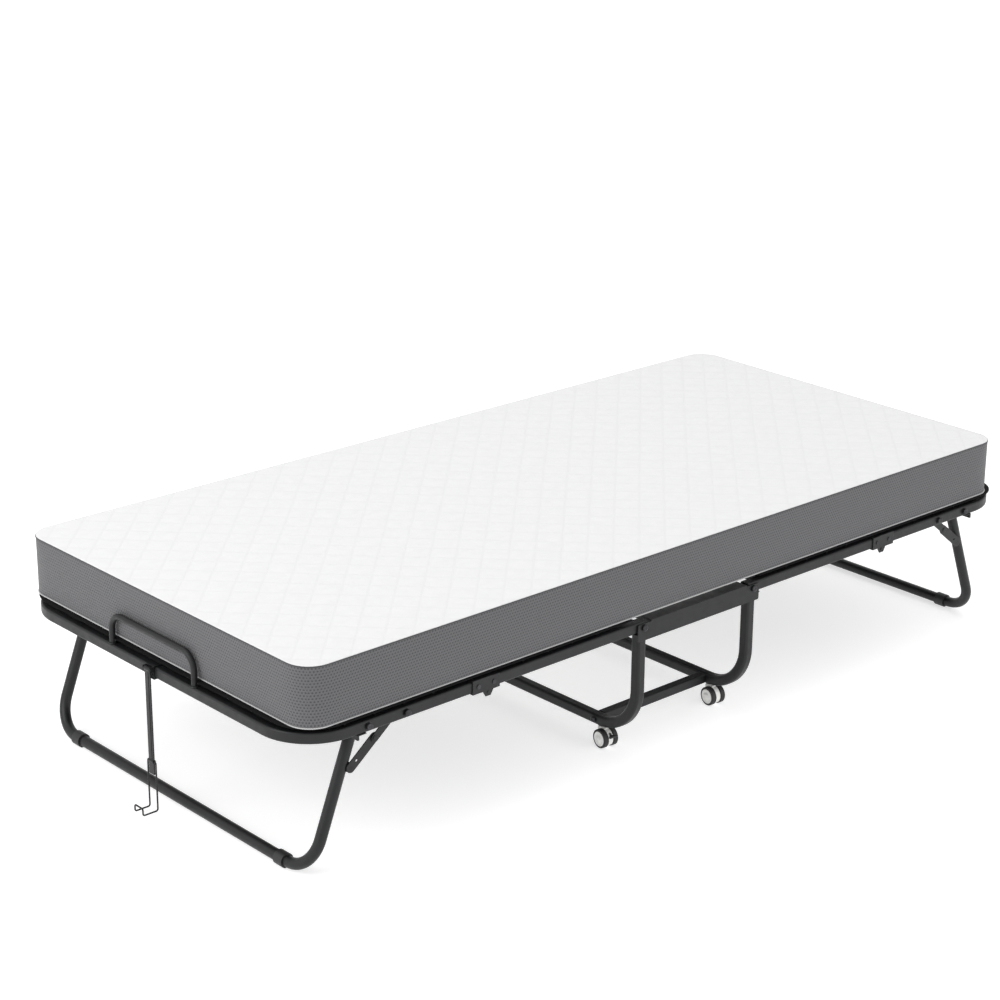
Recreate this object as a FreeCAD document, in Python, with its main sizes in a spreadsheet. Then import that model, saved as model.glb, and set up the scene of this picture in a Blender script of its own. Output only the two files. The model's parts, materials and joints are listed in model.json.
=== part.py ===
import FreeCAD, Part
import math
import os
import re
import Sketcher

# Folding cot (rollaway bed), open for use. Millimetres, +Z up, floor at z = 0.
# The cot lies along X: the head end, which carries the latch, is at -X. "near" is the -Y side.
# Every piece is drawn about the middle of the base. node() then moves it along X by datum_shift, so that
# the origin is the floor point under the centre of the whole cot's box, which the latch hook lengthens.

Vector = FreeCAD.Vector
Rotation = FreeCAD.Rotation

SIZES = {
    "datum_shift": 21,
    # foam mattress, which lies a little towards the head end of the frame
    "mattress_length": 1898,
    "mattress_width": 890,
    "mattress_top": 425,
    "mattress_bottom": 303,
    "mattress_corner": 50,
    "mattress_shift": 11,
    "foam_gap": 1.5,
    # rails: rounded square tube
    "rail_size": 22,
    "rail_corner": 4,
    "rail_wall": 1.5,
    "frame_length": 964,
    "frame_width": 437,
    "frame_bend": 99,
    "rail_joint": 558,
    "joint_gap": 0.5,
    # fold pivots, where each half meets the base
    "pivot_x": 153,
    "pivot_height": 283,
    "rail_overhang": 10,
    "bolt_radius": 4,
    "hole_radius": 4.4,
    "bolt_head_radius": 6.5,
    "bolt_head": 3.5,
    "bolt_nut": 4,
    "bolt_play": 0.6,
    "washer_radius": 8,
    "washer": 1,
    # base
    "plate_inner": 449,
    "plate_thickness": 3,
    "plate_length": 338,
    "plate_low": 256,
    "plate_high": 291,
    "plate_corner": 3,
    "flange_half": 134,
    "flange_wide": 28,
    "fold_stop_x": 168,
    "fold_stop_long": 10,
    "fold_stop_wide": 20,
    "fold_stop_high": 2.4,
    "fold_stop_drop": 1.6,
    "hoop_width": 438,
    "hoop_bar_height": 53,
    "hoop_top": 265,
    "hoop_bend": 95,
    "hoop_corner": 6,
    "tie_y": 331,
    "tie_size": 20,
    "tie_corner": 3,
    "centre_bar_x": 108,
    "centre_bar_wide": 12,
    "centre_bar_high": 18,
    "centre_bar_corner": 2,
    "small_bolt_radius": 3,
    "small_head_radius": 6,
    "small_head": 3,
    "rivet_radius": 4.5,
    "rivet_head": 1.2,
    # cross bars, slats and wire mesh of each half
    "cross_size": 18,
    "cross_corner": 2.5,
    "cross_wall": 1.2,
    "cross_inner": 205,
    "cross_middle": 514,
    "cross_outer": 612,
    "cross_top": 290,
    "slat_y": 150,
    "slat_wide": 28,
    "slat_thick": 4,
    "wire_radius": 2,
    "wire_overhang": 3,
    "outer_wire_start": 56,
    "outer_wire_pitch": 67,
    "inner_wire_start": 60,
    "inner_wire_pitch": 62,
    # support cloth between mesh and mattress
    "cloth_low": 302.1,
    "cloth_thick": 0.8,
    "cloth_outer": 966,
    "cloth_inner": 175,
    "cloth_half": 446.5,
    "cloth_corner": 100,
    "cloth_notch_long": 9.6,
    "cloth_notch_wide": 13.4,
    # brackets on the rails
    "sheet": 2,
    "sheet_gap": 0.2,
    "joint_from": 521,
    "joint_to": 586,
    "joint_rivet_inset": 14,
    "joint_ear_from": 537,
    "joint_ear_top": 297,
    "joint_ear_slope": 3,
    "tab_x": 549,
    "tab_top": 25,
    "tab_end": 12,
    "tab_drop": 13,
    "tab_screw_radius": 3,
    "tab_screw_drop": 6,
    "stop_web": 4,
    "stop_offset": 21,
    "stop_low": 262,
    "stop_shelf": 20,
    # legs: round tube
    "leg_pivot_x": 825,
    "leg_width": 408,
    "leg_radius": 11,
    "leg_wall": 1.5,
    "leg_bend": 65,
    "leg_top": 9,
    "leg_slant": 20.9,
    "leg_tuck": 7.9,
    "leg_bar_height": 13.2,
    "foot_y": 328,
    "foot_wide": 24,
    "foot_radius": 14.2,
    "lug_root": 6,
    "lug_margin": 9,
    "lug_high": 18,
    # folding stays between rail and leg
    "stay_x": 739,
    "stay_thick": 2,
    "upper_stay_y": 423.2,
    "lower_stay_y": 420.6,
    "upper_stay_radius": 8,
    "lower_stay_radius": 10,
    "stay_catch_from": 16,
    "stay_catch_radius": 2.5,
    "knee_radius": 5,
    "knee_head": 1.2,
    "lug_y": 417.8,
    "lug_thick": 2.4,
    # handle
    "handle_radius": 6,
    "handle_width": 131,
    "handle_rise": 60,
    "handle_bend": 32,
    "handle_inset": 7,
    # latch
    "latch_y": -4,
    "latch_pin_x": 982.5,
    "latch_pin_height": 290,
    "latch_pin_radius": 2,
    "latch_wide": 16,
    "clip_wide": 24,
    "ear_thick": 2.4,
    "ear_gap": 1.6,
    "clip_rivet_radius": 4,
    "clip_rivet_head": 1.5,
    "clip_rivet_inset": 7,
    "strap_thick": 2.5,
    "strap_low": 78,
    "strap_rib_wide": 6,
    "strap_rib": 0.8,
    "roll_radius": 4.2,
    "bail_height": 105,
    "bail_wire": 1.6,
    "bail_half": 13,
    "bail_low": 7,
    "bail_reach": 33,
    "bail_lip": 14,
    "bail_bend": 4,
    "barrel_wall": 2,
    "fit_gap": 0.35,
    # casters
    "caster_y": 345,
    "caster_trail": 10,
    "caster_turn": -6,
    "wheel_radius": 19.5,
    "wheel_inner": 6,
    "wheel_wide": 11,
    "wheel_edge": 1.6,
    "tyre_inner": 15,
    "axle_radius": 3,
    "web_half": 5.4,
    "web_radius": 17.5,
    "web_neck": 20,
    "web_neck_y": 2,
    "web_gap": 0.8,
    "stem_radius": 4,
    "socket_wall": 3,
    "collar_wall": 4.5,
    "stem_above": 6,
    "stem_from": 32,
    "lever_pin_y": 13.5,
    "lever_pin_height": 29,
    "lever_pin_radius": 1,
    "lever_eye": 3,
    "lever_wide": 4,
    "lever_thick": 3,
    "lever_stalk": 11,
    "pedal_wide": 19,
    "pedal_long": 4,
    "lever_slot_wide": 5.2,
    "lever_slot_long": 14,
    "lever_slot_high": 9,
}

doc = FreeCAD.newDocument("FoldingCot")
sheet = doc.addObject("Spreadsheet::Sheet", "Sizes")
for row, (alias, number) in enumerate(SIZES.items(), 1):
    sheet.set(f"A{row}", alias.replace("_", " "))
    sheet.set(f"B{row}", str(number))
    sheet.setAlias(f"B{row}", alias)
doc.recompute()

NODES = []


def formula(text):
    """The text as an expression: each size's name gets the sheet's name in front."""
    return re.sub(r"[a-z_]+", lambda m: f"Sizes.{m.group()}" if m.group() in SIZES else m.group(), str(text))


def value(text):
    return float(sheet.evalExpression(formula(text)))


def bind(item, bindings):
    for path, text in bindings.items():
        item.setExpression(path, formula(text))


def place(item, at, turn=None):
    if turn is not None:
        item.Placement = FreeCAD.Placement(Vector(), turn)
    bind(item, {f"Placement.Base.{axis}": text for axis, text in zip("xyz", at)})
    return item


# Primitives and booleans


def block(centre, size):
    item = doc.addObject("Part::Box", "Block")
    bind(item, dict(zip(("Length", "Width", "Height"), size)))
    return place(item, [f"({c}) - ({s}) / 2" for c, s in zip(centre, size)])


TURNS = {
    "x": Rotation(Vector(0, 1, 0), 90),
    "y": Rotation(Vector(1, 0, 0), -90),
    "z": Rotation(),
}


def rod(axis, start, radius, length):
    """A cylinder that runs from start in the positive direction of axis."""
    item = doc.addObject("Part::Cylinder", "Rod")
    bind(item, {"Radius": radius, "Height": length})
    return place(item, start, TURNS[axis])


def group(pieces, name="Group"):
    item = doc.addObject("Part::Compound", name)
    item.Links = pieces
    return item


def cut(base, tools):
    item = doc.addObject("Part::Cut", "Cut")
    item.Base = base
    item.Tool = tools[0] if len(tools) == 1 else group(tools)
    return item


def fuse(pieces):
    item = doc.addObject("Part::MultiFuse", "Fuse")
    item.Shapes = pieces
    item.Refine = True
    return item


def ring(axis, start, outer, inner, length):
    return cut(rod(axis, start, outer, length), [rod(axis, start, inner, length)])


def mirrored(source, normal, at_x="0"):
    item = doc.addObject("Part::Mirroring", "Mirror")
    item.Source = source
    item.Normal = normal
    bind(item, {"Base.x": at_x})
    return item


def far_side(source):
    return mirrored(source, Vector(0, 1, 0))


def both_sides(source):
    return [source, far_side(source)]


def both_ends(source):
    return [source, mirrored(source, Vector(1, 0, 0))]


def rounded(base, radius, wanted):
    """base with every edge for which wanted(edge) is true filleted."""
    doc.recompute()
    item = doc.addObject("Part::Fillet", "Rounded")
    item.Base = base
    size = value(radius)
    item.Edges = [(n, size, size) for n, edge in enumerate(base.Shape.Edges, 1) if wanted(edge)]
    return item


# PartDesign bodies


def sketch_on(body, role, name):
    sketch = body.newObject("Sketcher::SketchObject", name)
    plane = next(feature for feature in body.Origin.OriginFeatures if feature.Role == role)
    sketch.AttachmentSupport = [(plane, "")]
    sketch.MapMode = "FlatFace"
    return sketch


def limit(sketch, kind, where, text):
    """Adds a dimension to the sketch, bound to the expression text."""
    number = sketch.addConstraint(Sketcher.Constraint(kind, *where, value(text)))
    bind(sketch, {f"Constraints[{number}]": text})


def draw_rectangle(sketch, centre, wide, high, corner):
    """A rectangle with round corners: four lines, then four arcs, each fully constrained."""
    across, up = value(centre[0]), value(centre[1])
    left, right = across - value(wide) / 2, across + value(wide) / 2
    low, top = up - value(high) / 2, up + value(high) / 2
    radius, first = value(corner), sketch.GeometryCount
    lines = [
        (left + radius, low, right - radius, low),
        (right, low + radius, right, top - radius),
        (right - radius, top, left + radius, top),
        (left, top - radius, left, low + radius),
    ]
    arcs = [
        (right - radius, low + radius, -90),
        (right - radius, top - radius, 0),
        (left + radius, top - radius, 90),
        (left + radius, low + radius, 180),
    ]
    for x1, y1, x2, y2 in lines:
        sketch.addGeometry(Part.LineSegment(Vector(x1, y1, 0), Vector(x2, y2, 0)), False)
    for x, y, angle in arcs:
        circle = Part.Circle(Vector(x, y, 0), Vector(0, 0, 1), radius)
        ends = math.radians(angle), math.radians(angle + 90)
        sketch.addGeometry(Part.ArcOfCircle(circle, *ends), False)
    for side in range(4):
        arc = first + 4 + side
        sketch.addConstraint(Sketcher.Constraint("Tangent", first + side, 2, arc, 1))
        sketch.addConstraint(Sketcher.Constraint("Tangent", arc, 2, first + (side + 1) % 4, 1))
        sketch.addConstraint(Sketcher.Constraint(("Horizontal", "Vertical")[side % 2], first + side))
        if side:
            sketch.addConstraint(Sketcher.Constraint("Equal", first + 4, arc))
    limit(sketch, "Radius", (first + 4,), corner)
    limit(sketch, "DistanceX", (first + 3, 1), f"({centre[0]}) - ({wide}) / 2")
    limit(sketch, "DistanceX", (first + 1, 1), f"({centre[0]}) + ({wide}) / 2")
    limit(sketch, "DistanceY", (first, 1), f"({centre[1]}) - ({high}) / 2")
    limit(sketch, "DistanceY", (first + 2, 1), f"({centre[1]}) + ({high}) / 2")


def draw_circle(sketch, centre, radius):
    middle = Vector(value(centre[0]), value(centre[1]), 0)
    number = sketch.addGeometry(Part.Circle(middle, Vector(0, 0, 1), value(radius)), False)
    limit(sketch, "Radius", (number,), radius)
    limit(sketch, "DistanceX", (number, 3), centre[0])
    limit(sketch, "DistanceY", (number, 3), centre[1])


def draw_polygon(sketch, points):
    corners = [Vector(value(x), value(y), 0) for x, y in points]
    count = len(points)
    for start in range(count):
        sketch.addGeometry(Part.LineSegment(corners[start], corners[(start + 1) % count]), False)
    for start, (x, y) in enumerate(points):
        sketch.addConstraint(Sketcher.Constraint("Coincident", start, 2, (start + 1) % count, 1))
        limit(sketch, "DistanceX", (start, 1), x)
        limit(sketch, "DistanceY", (start, 1), y)


def box_section(wide, high, corner, wall):
    """Draws the section of a rectangular tube with round corners, outside and bore."""

    def draw(sketch, centre):
        draw_rectangle(sketch, centre, wide, high, corner)
        draw_rectangle(sketch, centre, f"{wide} - 2 * {wall}", f"{high} - 2 * {wall}", f"{corner} - {wall}")

    return draw


def round_section(radius, wall=None):
    """Draws the section of a round tube, or of a solid bar when there is no wall."""

    def draw(sketch, centre):
        draw_circle(sketch, centre, radius)
        if wall:
            draw_circle(sketch, centre, f"{radius} - {wall}")

    return draw


def draw_hoop_path(sketch, half, rise, bend):
    """The centreline of a U: down one arm, round a bend, along the bar and up the other arm."""
    wide, high, radius = value(half), value(rise), value(bend)
    bends = [(-wide + radius, math.pi), (wide - radius, 1.5 * math.pi)]
    edges = [
        Part.LineSegment(Vector(-wide, high, 0), Vector(-wide, radius, 0)),
        Part.LineSegment(Vector(-wide + radius, 0, 0), Vector(wide - radius, 0, 0)),
        Part.LineSegment(Vector(wide, radius, 0), Vector(wide, high, 0)),
    ]
    for across, angle in bends:
        circle = Part.Circle(Vector(across, radius, 0), Vector(0, 0, 1), radius)
        edges.append(Part.ArcOfCircle(circle, angle, angle + math.pi / 2))
    left, bar, right, left_bend, right_bend = [sketch.addGeometry(edge, False) for edge in edges]
    for before, after in ((left, left_bend), (left_bend, bar), (bar, right_bend), (right_bend, right)):
        sketch.addConstraint(Sketcher.Constraint("Tangent", before, 2, after, 1))
    sketch.addConstraint(Sketcher.Constraint("Vertical", left))
    sketch.addConstraint(Sketcher.Constraint("Horizontal", bar))
    sketch.addConstraint(Sketcher.Constraint("Vertical", right))
    sketch.addConstraint(Sketcher.Constraint("Equal", left_bend, right_bend))
    limit(sketch, "Radius", (left_bend,), bend)
    limit(sketch, "DistanceX", (left, 1), f"-{half}")
    limit(sketch, "DistanceX", (right, 2), half)
    limit(sketch, "DistanceY", (left, 1), rise)
    limit(sketch, "DistanceY", (right, 2), rise)
    limit(sketch, "DistanceY", (bar, 1), "0")


def bent_tube(half, rise, bend, section):
    """A U of tube in the YZ plane. Its bar lies along Y through the origin and its arms rise to z = rise."""
    body = doc.addObject("PartDesign::Body", "BentTube")
    path = sketch_on(body, "YZ_Plane", "Path")
    draw_hoop_path(path, half, rise, bend)
    profile = sketch_on(body, "XY_Plane", "Profile")
    bind(profile, {"AttachmentOffset.Base.z": rise})
    section(profile, ("0", f"-{half}"))
    doc.recompute()
    pipe = body.newObject("PartDesign::AdditivePipe", "Pipe")
    pipe.Profile = profile
    pipe.Spine = path
    return body


def straight_tube(axis, start, length, section):
    """A straight tube that runs from start in the positive direction of axis, x or y."""
    body = doc.addObject("PartDesign::Body", "StraightTube")
    profile = sketch_on(body, "YZ_Plane", "Profile")
    section(profile, ("0", "0"))
    pad = body.newObject("PartDesign::Pad", "Pad")
    pad.Profile = profile
    bind(pad, {"Length": length})
    turn = Rotation(Vector(0, 0, 1), 90) if axis == "y" else Rotation()
    return place(body, start, turn)


def sheet_piece(at_y, thickness, draw):
    """Flat sheet in the XZ plane, drawn by draw(sketch). It is thickness thick, outward (-Y) from at_y."""
    body = doc.addObject("PartDesign::Body", "SheetPiece")
    outline = sketch_on(body, "XZ_Plane", "Outline")
    draw(outline)
    pad = body.newObject("PartDesign::Pad", "Pad")
    pad.Profile = outline
    bind(pad, {"Length": thickness})
    return place(body, ("0", at_y, "0"))


# Nodes


def node(label, pieces, at=("0", "0", "0"), turn=None):
    """One exported sub-part: its pieces, moved together to at and then by datum_shift along X."""
    item = group(pieces, label)
    item.Label = label
    place(item, (f"datum_shift + ({at[0]})", at[1], at[2]), turn)
    NODES.append(item)
    return item


def at_both_ends(name, pieces, at=("0", "0", "0"), turn=None):
    """head_NAME, and foot_NAME as its mirror image about the middle of the base."""
    head = node(f"head_{name}", pieces, at, turn)
    foot = mirrored(head, Vector(1, 0, 0), "datum_shift")
    foot.Label = f"foot_{name}"
    NODES.append(foot)


RAIL = box_section("rail_size", "rail_size", "rail_corner", "rail_wall")
HOOP = box_section("rail_size", "rail_size", "hoop_corner", "rail_wall")
TIE = box_section("tie_size", "tie_size", "tie_corner", "rail_wall")
CROSS = box_section("cross_size", "cross_size", "cross_corner", "cross_wall")
CENTRE_BAR = box_section("centre_bar_wide", "centre_bar_high", "centre_bar_corner", "cross_wall")
RAIL_OUTER = "frame_width + rail_size / 2"
RAIL_INNER = "frame_width - rail_size / 2"
RAIL_LOW = "pivot_height - rail_size / 2"
RAIL_TOP = "pivot_height + rail_size / 2"
BRACKET_OUTER = f"{RAIL_OUTER} + sheet_gap + sheet"


def y_hole(x, z, radius="hole_radius"):
    """A drill through both walls of the near rail, along Y."""
    return rod("y", (x, f"-({RAIL_OUTER}) - 5", z), radius, "rail_size + 10")


def base_parts():
    outside = "pivot_x + rail_size / 2"
    inside = "pivot_x - rail_size / 2"
    for end, sign in (("head", "-"), ("foot", "")):
        hoop = bent_tube("hoop_width", "hoop_top - hoop_bar_height", "hoop_bend", HOOP)
        bolt_hole = rod("x", ("-rail_size", "-tie_y", "0"), "small_bolt_radius", "2 * rail_size")
        stem_hole = rod("z", ("0", "-caster_y", "-rail_size"), "stem_radius + fit_gap", "rail_size")
        holes = both_sides(bolt_hole) + both_sides(stem_hole)
        node(f"hoop_{end}", [cut(hoop, holes)], (f"{sign}pivot_x", "0", "hoop_bar_height"))
    node("side_plates", both_sides(side_plate()))
    tie = straight_tube("x", (f"-({inside})", "-tie_y", "hoop_bar_height"), f"2 * ({inside})", TIE)
    node("tie_bars", both_sides(tie))
    bar_height = f"{RAIL_TOP} - slat_thick - centre_bar_high / 2"
    bar = straight_tube("y", ("-centre_bar_x", "-plate_inner", bar_height), "2 * plate_inner", CENTRE_BAR)
    node("centre_cross_bars", both_ends(bar))
    slat = block(
        ("0", "-slat_y", f"{RAIL_TOP} - slat_thick / 2"),
        ("2 * centre_bar_x + 2 * centre_bar_wide", "slat_wide", "slat_thick"),
    )
    node("centre_slats", both_sides(slat))
    head_at = (f"-({outside}) - small_head", "-tie_y", "hoop_bar_height")
    shank_at = (f"-({outside})", "-tie_y", "hoop_bar_height")
    head = ("x", head_at, "small_head_radius", "small_head")
    shank = ("x", shank_at, "small_bolt_radius", "rail_size + bolt_head_radius")
    bolt = fuse([rod(*head), rod(*shank)])
    pivot = bolt_along_y("-pivot_x", "plate_inner + plate_thickness", RAIL_INNER)
    near_bolts = both_ends(bolt) + both_ends(pivot)
    node("base_bolts", near_bolts + [far_side(item) for item in near_bolts])
    socket_high = "rail_size - 2 * rail_wall"
    socket_at = ("-pivot_x", "-caster_y", f"hoop_bar_height - ({socket_high}) / 2")
    socket = ring("z", socket_at, "stem_radius + socket_wall", "stem_radius + fit_gap", socket_high)
    node("caster_sockets", both_ends(socket) + both_ends(far_side(socket)))


def side_plate():
    """The near plate that joins the two hoops, with its inward top flange and the two stops of the rails."""
    plate = sheet_piece(
        "-plate_inner",
        "plate_thickness",
        lambda sketch: draw_rectangle(
            sketch,
            ("0", "(plate_low + plate_high) / 2"),
            "plate_length",
            "plate_high - plate_low",
            "plate_corner",
        ),
    )
    flange = block(
        ("0", "-plate_inner - plate_thickness + flange_wide / 2", f"(plate_high + {RAIL_TOP}) / 2"),
        ("2 * flange_half", "flange_wide", f"{RAIL_TOP} - plate_high"),
    )
    stop_y = "-plate_inner + fold_stop_wide / 2 - plate_thickness / 2"
    stop = block(
        ("-fold_stop_x", stop_y, f"{RAIL_LOW} - fold_stop_drop"),
        ("fold_stop_long", "fold_stop_wide", "fold_stop_high"),
    )
    drill = rod("y", ("-pivot_x", "-plate_inner - rail_size", "pivot_height"), "bolt_radius", "2 * rail_size")
    return cut(fuse([plate, flange] + both_ends(stop)), both_ends(drill))


def bolt_along_y(x, head_at, end_at):
    """A bolt with its head outside head_at and a nut just inside end_at, both measured from y = 0."""
    nut_at = (x, f"-({end_at}) + bolt_play", "pivot_height")
    nut = rod("y", nut_at, "bolt_head_radius", "bolt_nut")
    return fuse([headed_pin(x, head_at, f"{end_at} - bolt_play - bolt_nut"), nut])


def headed_pin(x, head_at, end_at):
    """A bolt's head and shank, from its head outside head_at to end_at."""
    head = rod("y", (x, f"-({head_at}) - bolt_head", "pivot_height"), "bolt_head_radius", "bolt_head")
    shank = rod("y", (x, f"-({head_at})", "pivot_height"), "bolt_radius", f"{head_at} - ({end_at})")
    return fuse([head, shank])


def frame_parts():
    """The rails, cross bars, slats and mesh of one half, drawn at the head end."""
    arm = "frame_length - rail_joint - joint_gap"
    frame = bent_tube("frame_width", arm, "frame_bend", RAIL)
    place(frame, ("-frame_length", "0", "pivot_height"), Rotation(Vector(0, 1, 0), 90))
    drills = []
    for x in ("leg_pivot_x", "stay_x"):
        drills += both_sides(y_hole(f"-{x}", "pivot_height", "bolt_radius"))
    drills += both_sides(y_hole("-joint_to + joint_rivet_inset", "pivot_height", "small_bolt_radius"))
    at_both_ends("end_frame", [cut(frame, drills)])
    rail = straight_tube(
        "x",
        ("-rail_joint + joint_gap", "-frame_width", "pivot_height"),
        "rail_joint - joint_gap - pivot_x + rail_overhang",
        RAIL,
    )
    drills = [
        y_hole("-pivot_x", "pivot_height"),
        y_hole("-joint_from - joint_rivet_inset", "pivot_height", "small_bolt_radius"),
    ]
    at_both_ends("inner_rails", both_sides(cut(rail, drills)))
    bars = []
    for x in ("cross_inner", "cross_middle", "cross_outer"):
        start = (f"-{x}", f"-({RAIL_INNER})", "cross_top - cross_size / 2")
        bars.append(straight_tube("y", start, f"2 * ({RAIL_INNER})", CROSS))
    at_both_ends("cross_bars", bars)
    slat_end = "frame_length - rail_size / 2"
    slat_start = "cross_inner - cross_size / 2"
    slat = block(
        (f"-({slat_end} + {slat_start}) / 2", "-slat_y", "cross_top + slat_thick / 2"),
        (f"{slat_end} - ({slat_start})", "slat_wide", "slat_thick"),
    )
    at_both_ends("slats", both_sides(slat))
    at_both_ends("wire_mesh", mesh_wires())
    at_both_ends("support_cloth", [support_cloth()])


def support_cloth():
    """The cloth that covers the mesh of one half, with a notch round each foot of the handle."""
    middle_z = "cloth_low + cloth_thick / 2"
    outer_x = -value("cloth_outer")
    flat = block(
        ("-(cloth_outer + cloth_inner) / 2", "0", middle_z),
        ("cloth_outer - cloth_inner", "2 * cloth_half", "cloth_thick"),
    )
    cloth = rounded(flat, "cloth_corner", lambda edge: is_upright(edge) and edge.Vertexes[0].X < outer_x + 1)
    notch = block(
        ("-cloth_outer", "-handle_width", middle_z),
        ("cloth_notch_long", "cloth_notch_wide", "2 * cloth_thick"),
    )
    return cut(cloth, both_sides(notch))


def is_upright(edge):
    first, last = (vertex.Point for vertex in edge.Vertexes)
    return abs(first.z - last.z) > max(abs(first.x - last.x), abs(first.y - last.y))


def mesh_wires():
    """Cross wires lie on the rails and slats, and the long wires on the cross wires, in two panels."""
    wires = []
    for first, pitch in (
        ("cross_outer + outer_wire_start", "outer_wire_pitch"),
        ("cross_inner + inner_wire_start", "inner_wire_pitch"),
    ):
        for number in range(4):
            start = (f"-({first} + {number} * {pitch})", "-frame_width", f"{RAIL_TOP} + wire_radius")
            wires.append(rod("y", start, "wire_radius", "2 * frame_width"))
    panels = [
        ("frame_length - rail_size / 2 + wire_overhang", "cross_outer - cross_size / 2"),
        ("cross_middle + cross_size / 2", "cross_inner - cross_size / 2"),
    ]
    beside_slat = [230, 295, 360]
    between_slats = [35, 105]
    for y in between_slats + beside_slat:
        for far, near in panels:
            start = (f"-({far})", str(-y), f"{RAIL_TOP} + 3 * wire_radius")
            wires += both_sides(rod("x", start, "wire_radius", f"{far} - ({near})"))
    return wires


def bracket_parts():
    """Sheet brackets on the rails of one half, its bolts and its lifting handle."""
    side = sheet_piece(
        f"-({RAIL_OUTER}) - sheet_gap",
        "sheet",
        lambda sketch: draw_polygon(
            sketch,
            [
                ("-joint_to", "joint_ear_top"),
                ("-joint_to", f"{RAIL_LOW} - sheet"),
                ("-tab_x - tab_top / 2", f"{RAIL_LOW} - sheet"),
                ("-tab_x - tab_end / 2", f"{RAIL_LOW} - tab_drop"),
                ("-tab_x + tab_end / 2", f"{RAIL_LOW} - tab_drop"),
                ("-tab_x + tab_top / 2", f"{RAIL_LOW} - sheet"),
                ("-joint_from", f"{RAIL_LOW} - sheet"),
                ("-joint_from", f"{RAIL_TOP} + sheet_gap"),
                ("-joint_ear_from", f"{RAIL_TOP} + sheet_gap"),
                ("-joint_ear_from - joint_ear_slope", "joint_ear_top"),
            ],
        ),
    )
    flange_wide = "rail_size + sheet_gap + sheet"
    flanges = [
        block(
            ("-(joint_from + joint_to) / 2", f"-({RAIL_INNER}) - ({flange_wide}) / 2", z),
            ("joint_to - joint_from", flange_wide, "sheet"),
        )
        for z in (f"{RAIL_TOP} + sheet_gap + sheet / 2", f"{RAIL_LOW} - sheet_gap - sheet / 2")
    ]
    rivet_xs = ["-joint_from - joint_rivet_inset", "-joint_to + joint_rivet_inset"]
    drills = [
        rod("y", (x, f"-({BRACKET_OUTER}) - sheet", "pivot_height"), "small_bolt_radius", "3 * sheet")
        for x in rivet_xs
    ]
    screw = rod(
        "y",
        ("-tab_x", f"-({BRACKET_OUTER}) - rivet_head", f"{RAIL_LOW} - tab_screw_drop"),
        "tab_screw_radius",
        "rivet_head + sheet / 2",
    )
    at_both_ends("joint_brackets", both_sides(cut(fuse([side, screw] + flanges), drills)))

    shelf_outer = "leg_pivot_x + stop_offset + stop_web"
    shelf_y = f"-({RAIL_OUTER} + {RAIL_INNER}) / 2"
    shelf = block(
        (f"-({shelf_outer}) + stop_shelf / 2", shelf_y, f"{RAIL_LOW} - sheet / 2"),
        ("stop_shelf", "rail_size", "sheet"),
    )
    web_inner = "leg_width - leg_radius"
    web_y = f"-({RAIL_OUTER} + {web_inner}) / 2"
    web = block(
        (f"-({shelf_outer}) + stop_web / 2", web_y, f"(stop_low + {RAIL_LOW}) / 2"),
        ("stop_web", f"{RAIL_OUTER} - ({web_inner})", f"{RAIL_LOW} - stop_low"),
    )
    at_both_ends("leg_brackets", both_sides(fuse([shelf, web])))

    head_at = f"{RAIL_OUTER} + washer"
    rivets = []
    for x in rivet_xs:
        rivet_head_at = (x, f"-({BRACKET_OUTER}) - rivet_head", "pivot_height")
        rivet_head = rod("y", rivet_head_at, "rivet_radius", "rivet_head")
        shank_at = (x, f"-({BRACKET_OUTER})", "pivot_height")
        shank = rod("y", shank_at, "small_bolt_radius", "rail_size + 2 * sheet")
        rivets.append(fuse([rivet_head, shank]))
    leg_bolt = bolt_along_y("-leg_pivot_x", head_at, "leg_width - leg_radius")
    stay_bolt = headed_pin("-stay_x", head_at, "upper_stay_y - stay_thick / 2")
    washed = [
        fuse([bolt, rod("y", (x, f"-({head_at})", "pivot_height"), "washer_radius", "washer")])
        for bolt, x in ((leg_bolt, "-leg_pivot_x"), (stay_bolt, "-stay_x"))
    ]
    bolts = rivets + washed
    at_both_ends("bolts", bolts + [far_side(item) for item in bolts])

    handle = bent_tube("handle_width", "handle_rise", "handle_bend", round_section("handle_radius"))
    place(
        handle,
        ("-frame_length - rail_size / 2 + handle_inset", "0", f"{RAIL_TOP} + handle_rise"),
        Rotation(Vector(1, 0, 0), 180),
    )
    at_both_ends("handle", [handle])


LEG_REACH = "(pivot_height - leg_bar_height) / cos(leg_slant)"
STAY_DROP = "(leg_pivot_x - stay_x) * cos(leg_tuck)"
STAY_LEAN = "(leg_pivot_x - stay_x) * sin(leg_tuck)"


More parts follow.
